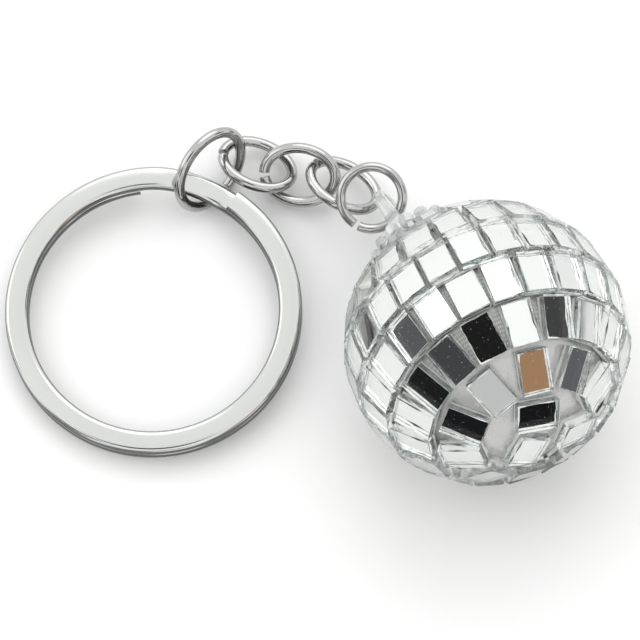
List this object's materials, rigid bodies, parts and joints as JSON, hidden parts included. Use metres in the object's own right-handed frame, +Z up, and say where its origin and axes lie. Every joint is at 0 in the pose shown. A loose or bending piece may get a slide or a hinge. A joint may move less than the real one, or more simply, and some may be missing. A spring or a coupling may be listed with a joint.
{
  "type": "mirror ball key ring",
  "caption": "Small ball covered with rows of cut mirror-glass tiles, on a beaded plastic cap with an eye, a short oval-link chain and a flat split key ring.",
  "frame": {"origin": "on the table, under the middle of the whole part as it lies at rest", "axes": "+Z up from the table, +X from the split ring towards the ball, +Y towards the chain's side of the ball"},
  "size_m": [0.0662, 0.0422, 0.0298],
  "materials": {
    "glass_mirror": "silvered cut glass",
    "core_pearl": "pearl",
    "cap_plastic": "clear silver moulding",
    "chain_wire": "bright nickel plate",
    "ring_band": "bright nickel plate"
  },
  "bodies": {
    "ball_body": {"ball_core": "core_pearl", "ornament_cap": "cap_plastic", "mirror_row_1": "glass_mirror", "mirror_row_2": "glass_mirror", "mirror_row_3": "glass_mirror", "mirror_row_4": "glass_mirror", "mirror_row_5": "glass_mirror", "mirror_row_6": "glass_mirror", "loose_tile_1": "glass_mirror", "loose_tile_2": "glass_mirror", "loose_tile_3": "glass_mirror", "loose_tile_4": "glass_mirror", "loose_tile_5": "glass_mirror", "loose_tile_6": "glass_mirror", "loose_tile_7": "glass_mirror", "loose_tile_8": "glass_mirror", "loose_tile_9": "glass_mirror", "loose_tile_10": "glass_mirror", "loose_tile_11": "glass_mirror", "loose_tile_12": "glass_mirror"},
    "jump_ring_body": {"jump_ring": "chain_wire"},
    "link_4_body": {"chain_link_4": "chain_wire"},
    "link_3_body": {"chain_link_3": "chain_wire"},
    "link_2_body": {"chain_link_2": "chain_wire"},
    "link_1_body": {"chain_link_1": "chain_wire"},
    "split_ring_body": {"split_ring": "ring_band"}
  },
  "joints": [
    {"name": "jump_ring_on_eye", "type": "hinge", "parent": "ball_body", "child": "jump_ring_body", "pos_m": [0.00901, 0.01029, 0.00581], "axis": [0.6142, 0.7282, 0.3039], "range_deg": [-90, 80]},
    {"name": "link_4_on_jump_ring", "type": "hinge", "parent": "jump_ring_body", "child": "link_4_body", "pos_m": [0.00316, 0.01171, 0.00555], "axis": [0.2371, -0.9344, -0.2658], "range_deg": [-50, 1]},
    {"name": "link_3_on_link_4", "type": "hinge", "parent": "link_4_body", "child": "link_3_body", "pos_m": [0.00059, 0.01758, 0.00267], "axis": [-0.7393, -0.5297, 0.4158], "range_deg": [-90, 20]},
    {"name": "link_2_on_link_3", "type": "hinge", "parent": "link_3_body", "child": "link_2_body", "pos_m": [-0.00398, 0.01459, 0.0013], "axis": [0.7937, -0.5959, -0.1218], "range_deg": [-62, 10]},
    {"name": "link_1_on_link_2", "type": "hinge", "parent": "link_2_body", "child": "link_1_body", "pos_m": [-0.00876, 0.02007, 0.00217], "axis": [-0.797, -0.4982, 0.3414], "range_deg": [-62, 18]},
    {"name": "split_ring_in_link_1", "type": "hinge", "parent": "link_1_body", "child": "split_ring_body", "pos_m": [-0.01253, 0.01483, 0.00287], "axis": [0.951, -0.3091, 0.0051], "range_deg": [-75, 20]}
  ]
}
